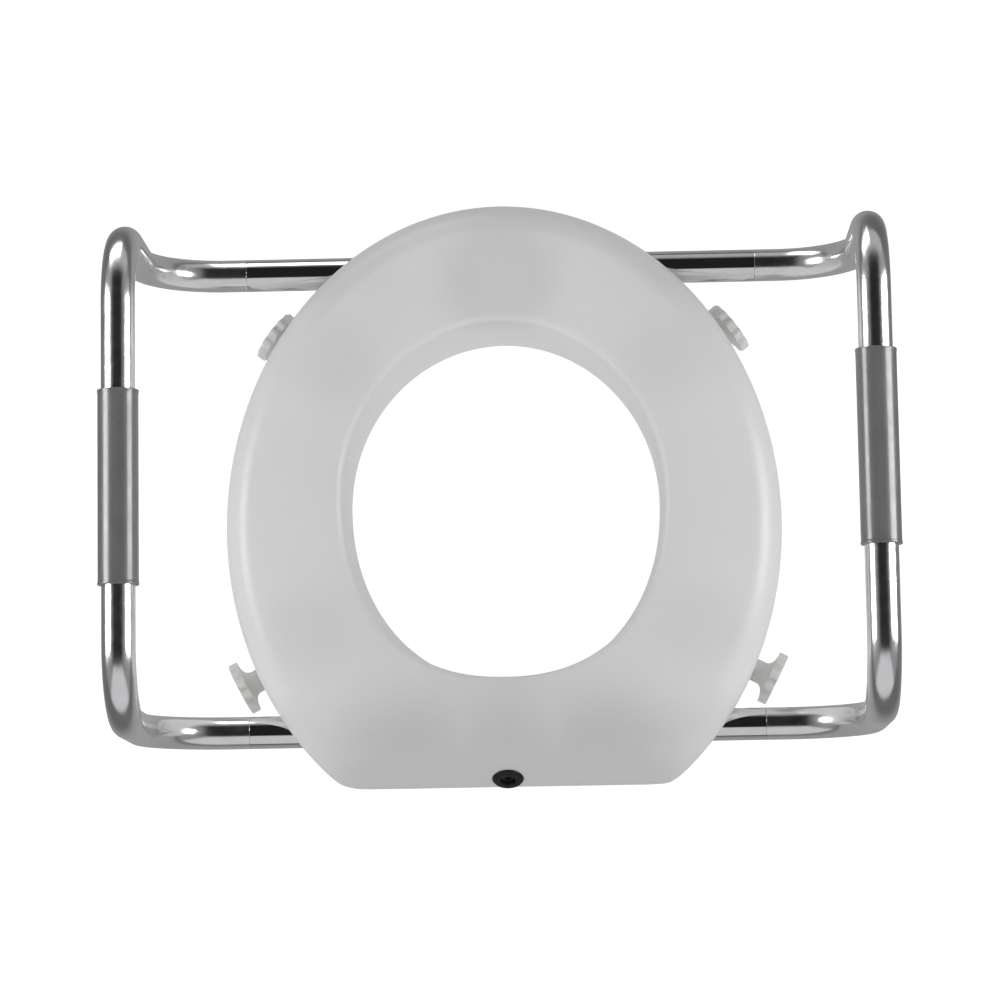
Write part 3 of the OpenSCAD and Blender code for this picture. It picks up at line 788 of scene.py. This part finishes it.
def feed(tree, socket, value):
    """Links another node's output to a socket, or sets the socket to a plain value."""
    if isinstance(value, bpy.types.NodeSocket):
        tree.links.new(value, socket)
    else:
        socket.default_value = value


def node(tree, kind, *by_place, **by_name):
    """A shader node with its sockets fed by place or by name; other keys are its properties."""
    made = tree.nodes.new(kind)
    for key, value in by_name.items():
        if key in made.inputs:
            feed(tree, made.inputs[key], value)
        else:
            setattr(made, key, value)
    for socket, value in zip(made.inputs, by_place):
        feed(tree, socket, value)
    return made


def object_coordinates(tree, scale=(1, 1, 1)):
    """Object coordinates in metres, stretched by scale."""
    coordinates = node(tree, "ShaderNodeTexCoord").outputs["Object"]
    return node(tree, "ShaderNodeMapping", Vector=coordinates, Scale=scale).outputs["Vector"]


def noise(tree, scale, detail=2.0, roughness=0.5, stretch=(1, 1, 1)):
    return node(tree, "ShaderNodeTexNoise", Vector=object_coordinates(tree, stretch), Scale=scale,
                Detail=detail, Roughness=roughness).outputs["Fac"]


def remap(tree, value, from_low, from_high, to_low, to_high):
    sockets = {"Value": value, "From Min": from_low, "From Max": from_high,
               "To Min": to_low, "To Max": to_high}
    return node(tree, "ShaderNodeMapRange", clamp=True, interpolation_type="SMOOTHSTEP",
                **sockets).outputs["Result"]


def math_node(tree, operation, a, b):
    return node(tree, "ShaderNodeMath", a, b, operation=operation).outputs["Value"]


def vector_node(tree, operation, *vectors):
    """The value of a length, a distance or a dot product."""
    return node(tree, "ShaderNodeVectorMath", *vectors, operation=operation).outputs["Value"]


def mix_colour(tree, share, a, b):
    made = node(tree, "ShaderNodeMix", data_type="RGBA", Factor=share)
    for name, value in (("A", a), ("B", b)):
        socket = next(s for s in made.inputs if s.name == name and s.type == "RGBA")
        feed(tree, socket, (*value, 1) if isinstance(value, tuple) else value)
    return next(s for s in made.outputs if s.type == "RGBA")


def bump(tree, shader, height, strength, distance, under=None):
    """Adds a bump, distance in metres, to the shader; under is an earlier bump that it lies on."""
    made = node(tree, "ShaderNodeBump", Strength=strength, Distance=distance, Height=height)
    if under is not None:
        feed(tree, made.inputs["Normal"], under)
    feed(tree, shader.inputs["Normal"], made.outputs["Normal"])
    return made.outputs["Normal"]


def edge_wear(tree, low_point=0.52, high_point=0.62):
    """0 on flats and up to 1 along raised edges."""
    geometry = node(tree, "ShaderNodeNewGeometry")
    edges = remap(tree, geometry.outputs["Pointiness"], low_point, high_point, 0, 1)
    return math_node(tree, "MULTIPLY", edges, remap(tree, noise(tree, 160, 3), 0.35, 0.6, 0.2, 1))


def near(tree, points, reach):
    """1 close to any of the points, in millimetres, falling smoothly to 0 at reach."""
    total = None
    for point in points:
        coordinates = node(tree, "ShaderNodeTexCoord").outputs["Object"]
        away = vector_node(tree, "DISTANCE", coordinates, tuple(np.array(point) * MM))
        share = remap(tree, away, 0, reach * MM, 1, 0)
        total = share if total is None else math_node(tree, "MAXIMUM", total, share)
    return total


SEAT_LIGHT, SEAT_DARK = (0.78, 0.78, 0.777), (0.755, 0.755, 0.752)
# The first two colours below are tones of painted shade; the last is the colour of rubbed edges
SEAT_PAINTED_SHADOW, SEAT_PAINTED_DEEP_SHADE, SEAT_RUBBED = (0.68, 0.68, 0.678), (0.57, 0.57, 0.57), (0.74, 0.735, 0.72)
BOSS_SHADE_X, BOSS_SHADE_Y = 0.73, 0.76    # where the painted shadow of a clamp's boss lies on top, as shares of its knob's place


def seat_plastic():
    """Milky moulded polyethylene: fine grain, faint flow clouding, painted shade along the front slope and at
    the middle of the rear, a painted shadow over each clamp's boss as seen through the plastic, and rubbed
    along its sharper edges."""
    material, tree, shader = new_material("milky_polyethylene", {
        "Subsurface Weight": 0.12, "Subsurface Radius": (0.012, 0.011, 0.010), "Subsurface Scale": 0.6,
        "IOR": 1.5, "Specular IOR Level": 0.22})
    cloud = remap(tree, noise(tree, 9, 4, 0.55), 0.3, 0.7, 0, 1)
    base = mix_colour(tree, cloud, SEAT_DARK, SEAT_LIGHT)
    fine = remap(tree, noise(tree, 260, 3), 0.35, 0.65, 0, 0.35)
    base = mix_colour(tree, fine, base, SEAT_DARK)
    knobs = [clamp_frame(end, side).translation for end, side in CLAMPS]
    # Painted shadow of each clamp's boss, as if seen through the plastic
    boss_shadow_spots = [(p[0] * BOSS_SHADE_X, p[1] * BOSS_SHADE_Y, SEAT_H) for p in knobs]
    base = mix_colour(tree, remap(tree, near(tree, boss_shadow_spots, 62), 0, 1, 0, 0.55), base, SEAT_PAINTED_SHADOW)
    # Painted shade along the front slope, darkest above the front bush
    slope = [(x, -232, SEAT_H - 30) for x in (-70, 0, 70)]
    base = mix_colour(tree, remap(tree, near(tree, slope, 125), 0, 0.75, 0, 0.95), base, SEAT_PAINTED_DEEP_SHADE)
    # Painted shade at the middle of the rear of the ring
    rear = [(0, 170, SEAT_H)]
    base = mix_colour(tree, remap(tree, near(tree, rear, 75), 0, 0.7, 0, 0.4), base, SEAT_PAINTED_DEEP_SHADE)
    worn = math_node(tree, "MULTIPLY", edge_wear(tree, 0.56, 0.68), 0.5)
    feed(tree, shader.inputs["Base Color"], mix_colour(tree, worn, base, SEAT_RUBBED))
    rough = remap(tree, noise(tree, 55, 5, 0.6), 0.3, 0.7, 0.3, 0.4)
    feed(tree, shader.inputs["Roughness"], rough)
    soft = bump(tree, shader, noise(tree, 30, 3), 0.25, 0.0005)
    grain = node(tree, "ShaderNodeTexVoronoi", feature="SMOOTH_F1", Scale=900,
                 Vector=object_coordinates(tree))
    bump(tree, shader, grain.outputs["Distance"], 0.12, 0.00012, soft)
    return material


def plated_tube(name, tint, rough_low, rough_high, wave):
    """Bright tube with faint drawing lines along it, slight waviness and hairline scratches."""
    material, tree, shader = new_material(name, {"Metallic": 1.0})
    haze = remap(tree, noise(tree, 34, 5, 0.6), 0.35, 0.7, 0, 1)
    dull = tuple(c * 0.93 for c in tint)
    feed(tree, shader.inputs["Base Color"], mix_colour(tree, haze, tint, dull))
    lines = noise(tree, 1400, 2, 0.6, (0.02, 1, 1))
    fine = remap(tree, noise(tree, 120, 6, 0.65), 0.3, 0.75, rough_low, rough_high)
    scratches = remap(tree, noise(tree, 700, 2, 0.5, (1, 0.05, 0.4)), 0.66, 0.72, 0, 0.04)
    feed(tree, shader.inputs["Roughness"], math_node(tree, "ADD", fine, scratches))
    under = bump(tree, shader, noise(tree, 22, 2), wave, 0.0006)
    bump(tree, shader, lines, 0.03, 0.00004, under)
    return material


def grip_vinyl():
    """Dipped grey vinyl: satin, with a faint orange-peel skin, fine speckle and polished wear."""
    material, tree, shader = new_material("grey_vinyl", {
        "Coat Weight": 0.45, "Coat Roughness": 0.07, "Specular IOR Level": 0.5})
    speckle = remap(tree, noise(tree, 1500, 2), 0.4, 0.68, 0, 1)
    base = mix_colour(tree, speckle, (0.122, 0.123, 0.127), (0.152, 0.153, 0.158))
    patches = remap(tree, noise(tree, 26, 4, 0.6), 0.35, 0.7, 0, 0.4)
    base = mix_colour(tree, patches, base, (0.172, 0.172, 0.176))
    feed(tree, shader.inputs["Base Color"], mix_colour(tree, edge_wear(tree), base, (0.26, 0.26, 0.262)))
    feed(tree, shader.inputs["Roughness"], remap(tree, noise(tree, 90, 4), 0.3, 0.7, 0.28, 0.4))
    peel = bump(tree, shader, noise(tree, 420, 2), 0.14, 0.0002)
    bump(tree, shader, noise(tree, 26, 2), 0.2, 0.0005, peel)
    return material


def mottled(name, dark, light, edge, patches, patch_low, rough_noise, rough, grain_noise, grain, sockets):
    """Colour that varies from dark to light in patches, with worn edges, uneven roughness and a fine
    grain. The noise arguments are scale, detail and roughness; grain is strength and distance."""
    material, tree, shader = new_material(name, sockets)
    base = mix_colour(tree, remap(tree, noise(tree, *patches), patch_low, 0.7, 0, 1), dark, light)
    feed(tree, shader.inputs["Base Color"], mix_colour(tree, edge_wear(tree), base, edge))
    feed(tree, shader.inputs["Roughness"], remap(tree, noise(tree, *rough_noise), 0.3, 0.7, *rough))
    bump(tree, shader, noise(tree, *grain_noise), *grain)
    return material


def knob_plastic():
    """Warm light grey nylon, slightly mottled, with rubbed lobes."""
    return mottled("warm_grey_nylon", dark=(0.60, 0.59, 0.575), light=(0.70, 0.692, 0.678),
                   edge=(0.80, 0.795, 0.785), patches=(140, 5, 0.65), patch_low=0.3,
                   rough_noise=(220, 3), rough=(0.34, 0.5), grain_noise=(1300, 2), grain=(0.2, 0.00012),
                   sockets={"Subsurface Weight": 0.08, "Subsurface Radius": (0.004, 0.0036, 0.003)})


def rough_metal(name, light, dark, rough, grain):
    """Plated or turned metal with cloudy plating, fine grain and bright worn edges."""
    return mottled(name, dark, light, edge=tuple(min(1.0, c * 1.25) for c in light),
                   patches=(90, 5, 0.65), patch_low=0.3, rough_noise=(300, 4), rough=rough,
                   grain_noise=(grain, 3), grain=(0.15, 0.00008), sockets={"Metallic": 1.0})


def dark_polymer(name, light, dark, edge, rough, grain):
    """Black rubber or plastic with a matt grain, dusty patches and greyed edges."""
    return mottled(name, dark, light, edge, patches=(60, 5, 0.6), patch_low=0.35, rough_noise=(240, 3),
                   rough=rough, grain_noise=(grain, 3), grain=(0.3, 0.00012),
                   sockets={"Specular IOR Level": 0.25})


# ---------------- assembly

def finish_piece(obj, body, slot, material, *nodes):
    """Gives a piece its shading, material and body, and hides the CAD nodes it stands for; slot is not used.
    """
    obj.data.shade_smooth()
    obj.data.set_sharp_from_angle(angle=SHARP_ANGLE)
    obj.data.materials.clear()
    obj.data.materials.append(material)
    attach(obj, body)
    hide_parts(*nodes)


def build_seat():
    finish_piece(seat_moulding(), "root", "seat_plastic", seat_plastic(), "seat_shell")


def build_tubes():
    chrome = plated_tube("chromed_tube", (0.715, 0.72, 0.735), 0.03, 0.07, 0.02)
    rear = cross_tube("rear_cross_tube_chromed", REAR_Y)
    finish_piece(rear, "root", "chromed_tube", chrome, "rear_cross_tube")
    front = cross_tube("front_cross_tube_chromed", FRONT_Y)
    nut_hole = BUSH_FRAME @ at(0, 0, 3 - BUSH_REACH)
    drill(front, NUT_HOLE_R, TUBE_R + 3, nut_hole, 48)
    finish_piece(front, "root", "chromed_tube", chrome, "front_cross_tube")
    satin = plated_tube("satin_arm_tube", (0.76, 0.765, 0.78), 0.17, 0.24, 0.03)
    vinyl = grip_vinyl()
    for side in (LEFT, RIGHT):
        name = SIDE_NAME[side]
        finish_piece(arm_tube(side), f"{name}_arm", "satin_tube", satin, f"{name}_arm_tube")
        finish_piece(grip_sleeve(side), f"{name}_arm", "grip_vinyl", vinyl, f"{name}_grip")


def build_clamps():
    nylon = knob_plastic()
    zinc = rough_metal("zinc_plated_steel", light=(0.62, 0.63, 0.65), dark=(0.46, 0.47, 0.49),
                       rough=(0.28, 0.5), grain=700)
    rubber = dark_polymer("black_rubber", light=(0.045, 0.045, 0.047), dark=(0.026, 0.026, 0.027),
                          edge=(0.12, 0.12, 0.12), rough=(0.6, 0.8), grain=800)
    brass = rough_metal("turned_brass", light=(0.72, 0.56, 0.28), dark=(0.52, 0.39, 0.18),
                        rough=(0.25, 0.45), grain=900)
    for end, side in CLAMPS:
        name = f"{end}_{SIDE_NAME[side]}"
        finish_piece(hand_knob(end, side), f"{name}_clamp_screw", "knob_plastic", nylon, f"{name}_knob")
        finish_piece(clamp_screw(end, side), f"{name}_clamp_screw", "zinc_steel", zinc, f"{name}_stud")
        finish_piece(swivel_pad(end, side), f"{name}_clamp_pad", "pad_rubber", rubber, f"{name}_pad")
        finish_piece(insert(end, side), "root", "insert_brass", brass, "clamp_inserts")
    strap = rough_metal("plated_strap", light=(0.56, 0.57, 0.59), dark=(0.40, 0.41, 0.43),
                        rough=(0.32, 0.55), grain=500)
    for end, y in (("rear", REAR_Y), ("front", FRONT_Y)):
        for side in (LEFT, RIGHT):
            name = f"{end}_{SIDE_NAME[side]}"
            finish_piece(saddle_strap(end, side), "root", "strap_steel", strap, f"{name}_saddle")
            for place, dy in (("inner", -SADDLE_SCREW_Y), ("outer", SADDLE_SCREW_Y)):
                screw = pan_screw(f"{name}_{place}_screw", y + dy, side * SADDLE_X)
                finish_piece(screw, "root", "zinc_steel", zinc, "saddle_screws")
            screw = lock_screw(f"{name}_lock_screw", side, y)
            finish_piece(screw, "root", "zinc_steel", zinc, "arm_lock_screws")
    for index, degrees in enumerate(RIB_ANGLES):
        finish_piece(rim_channel(index, degrees), "root", "pad_rubber", rubber, "rim_pads")
    finish_piece(tube_nut(), "root", "zinc_steel", zinc, "front_tube_nut")


def build_front_fixing():
    black = dark_polymer("black_nylon", light=(0.014, 0.014, 0.015), dark=(0.007, 0.007, 0.0075),
                         edge=(0.035, 0.035, 0.035), rough=(0.42, 0.6), grain=900)
    oxide = dark_polymer("black_oxide_steel", light=(0.014, 0.014, 0.015), dark=(0.006, 0.006, 0.006),
                         edge=(0.05, 0.05, 0.05), rough=(0.38, 0.55), grain=700)
    finish_piece(front_bush(), "root", "bush_plastic", black, "front_bush")
    finish_piece(front_screw(), "root", "black_steel", oxide, "front_screw")


# ---------------- studio

# Radiance of each source; the soft boxes are the bright ones
FRONT_PANEL, REAR_PANEL, SIDE_GLOW, SOFT_BOX, DARK_ROOM = 0.7, 0.5, 0.3, 10.0, 0.018
SIDE_FILL, TOP_FILL, FRONT_FILL, REAR_BOX, FLOOR_BOUNCE = 3.4, 2.0, 0.5, 2.4, 0.8
POOL_NEAR, POOL_FAR = 0.25, 0.75     # metres from the middle of the floor, over which its light fades
WHITE = (1, 1, 1, 1)
FLOOR_HALF, FLOOR_GAP = 6000, 0.3    # the gap keeps the floor just clear of the lowest faces

CAMERA_AT, LENS, SENSOR = Vector((68.0, -384.0, 2933.8)), 131.8, 36
CAMERA_RIGHT = Vector((0.99950, -0.01615, -0.02701)).normalized()
CAMERA_BACK = Vector((0.024635, -0.132734, 0.990846)).normalized()


def floor_material():
    """Pale floor under a pool of light. The camera sees a bright sweep, and diffuse surfaces are lit by
    one; reflections see a darker floor, brightest round the seat and falling away into the room."""
    material = bpy.data.materials.new("pale_floor")
    material.use_nodes = True
    tree = material.node_tree
    tree.nodes.clear()
    away = vector_node(tree, "LENGTH", node(tree, "ShaderNodeTexCoord").outputs["Object"])
    pool = remap(tree, away, POOL_NEAR, POOL_FAR, 1, 0)
    level = remap(tree, pool, 0, 1, 0.12, 0.3)
    grey = node(tree, "ShaderNodeCombineColor", level, level, level)
    paint = node(tree, "ShaderNodeBsdfDiffuse", Color=grey.outputs[0])
    rays = node(tree, "ShaderNodeLightPath")
    reflected = remap(tree, pool, 0, 1, 0.07, 0.15)
    bounce = math_node(tree, "MULTIPLY", rays.outputs["Is Diffuse Ray"], FLOOR_BOUNCE)
    strength = math_node(tree, "ADD", reflected, bounce)
    lit = node(tree, "ShaderNodeEmission", Color=WHITE, Strength=strength)
    seen = node(tree, "ShaderNodeEmission", Color=WHITE, Strength=0.9)
    glow = node(tree, "ShaderNodeMixShader", rays.outputs["Is Camera Ray"], lit.outputs[0], seen.outputs[0])
    both = node(tree, "ShaderNodeAddShader", paint.outputs[0], glow.outputs[0])
    node(tree, "ShaderNodeOutputMaterial", Surface=both.outputs[0])
    return material


def build_floor():
    corners = [(x * FLOOR_HALF, y * FLOOR_HALF, 0) for x, y in ((-1, -1), (1, -1), (1, 1), (-1, 1))]
    floor = mesh_object("floor", corners, [(0, 1, 2, 3)])
    floor.location.z = cad_low[2] - FLOOR_GAP * MM
    floor.data.materials.append(floor_material())


def world_band(tree, direction, toward, edge, top, level):
    """Light from one horizontal direction: level from the horizon up to a soft upper edge, where the
    rise over the run towards it is edge..top, fading at more than 45 degrees to either side."""
    run = vector_node(tree, "DOT_PRODUCT", direction, toward)
    side = vector_node(tree, "DOT_PRODUCT", direction, (toward[1], -toward[0], 0))
    forward = math_node(tree, "MAXIMUM", run, 0.001)
    rise = math_node(tree, "DIVIDE", vector_node(tree, "DOT_PRODUCT", direction, (0, 0, 1)), forward)
    below = remap(tree, rise, edge, top, 1, 0)
    across = math_node(tree, "DIVIDE", math_node(tree, "ABSOLUTE", side, 0), forward)
    inside = remap(tree, across, 1, 1.5, 1, 0)
    return math_node(tree, "MULTIPLY", math_node(tree, "MULTIPLY", below, inside), level)


def build_world():
    """A dark room with broad soft sources: a tall panel in front, a low one behind, and a faint glow
    round the two soft boxes at the sides."""
    world = bpy.data.worlds.new("soft_room")
    bpy.context.scene.world = world
    world.use_nodes = True
    tree = world.node_tree
    tree.nodes.clear()
    direction = node(tree, "ShaderNodeTexCoord").outputs["Generated"]
    bands = (((0, -1, 0), 1.6, 2.4, FRONT_PANEL), ((0, 1, 0), 0.35, 1.0, REAR_PANEL),
             ((-1, 0, 0), 0.5, 2.2, SIDE_GLOW), ((1, 0, 0), 0.5, 2.2, SIDE_GLOW))
    level = DARK_ROOM
    for band in bands:
        level = math_node(tree, "MAXIMUM", level, world_band(tree, direction, *band))
    room = node(tree, "ShaderNodeBackground", Color=WHITE, Strength=level)
    white = node(tree, "ShaderNodeBackground", Color=WHITE, Strength=1.0)
    camera_ray = node(tree, "ShaderNodeLightPath").outputs["Is Camera Ray"]
    pick = node(tree, "ShaderNodeMixShader", camera_ray, room.outputs[0], white.outputs[0])
    node(tree, "ShaderNodeOutputWorld", Surface=pick.outputs[0])


def panel(name, centre, width, height, radiance, toward, seen_in="both"):
    """A rectangular soft source facing a point; seen_in limits it to gloss or to diffuse light."""
    light = bpy.data.lights.new(name, "AREA")
    light.shape = "RECTANGLE"
    light.size, light.size_y = width, height
    light.energy = radiance * math.pi * width * height
    obj = bpy.data.objects.new(name, light)
    obj.location = centre
    obj.rotation_euler = (Vector(toward) - Vector(centre)).to_track_quat("-Z", "Y").to_euler()
    obj.visible_camera = False
    obj.visible_diffuse = seen_in != "gloss"
    obj.visible_glossy = seen_in != "diffuse"
    bpy.context.scene.collection.objects.link(obj)


def build_lights():
    build_world()
    for side, x, low_z, high_z in ((LEFT, -1.4, 0.42, 1.17), (RIGHT, 1.7, 0.28, 1.4)):
        centre, level = (x, 0.17, (low_z + high_z) / 2), (0, 0.17, (low_z + high_z) / 2)
        name = SIDE_NAME[side]
        panel(f"{name}_soft_box", centre, 0.75, high_z - low_z, SOFT_BOX, level, "gloss")
        panel(f"{name}_fill", (side * 1.5, 0.05, 0.8), 0.8, 0.8, SIDE_FILL, (0, 0, 0.1), "diffuse")
    panel("rear_left_box", (-0.8, 1.6, 0.4), 1.5, 0.7, REAR_BOX, (-0.8, 0, 0.4), "gloss")
    panel("front_fill", (0.2, -1.7, 0.9), 1.4, 0.9, FRONT_FILL, (0, 0, 0.1), "diffuse")
    panel("top_fill", (0, 0, 2.2), 1.6, 1.6, TOP_FILL, (0, 0, 0), "diffuse")


def build_camera():
    """Almost overhead, a little towards the front of the seat, with a long lens."""
    camera = bpy.data.cameras.new("camera")
    camera.sensor_width, camera.lens, camera.clip_end = SENSOR, LENS, 50
    obj = bpy.data.objects.new("camera", camera)
    up = CAMERA_BACK.cross(CAMERA_RIGHT).normalized()
    turn = Matrix((up.cross(CAMERA_BACK), up, CAMERA_BACK)).transposed()
    obj.matrix_world = Matrix.Translation(CAMERA_AT * MM) @ turn.to_4x4()
    bpy.context.scene.collection.objects.link(obj)
    bpy.context.scene.camera = obj


build_camera()
build_seat()
build_tubes()
build_clamps()
build_front_fixing()
build_floor()
build_lights()
bpy.context.scene.view_settings.view_transform = "Standard"
bpy.context.view_layer.update()
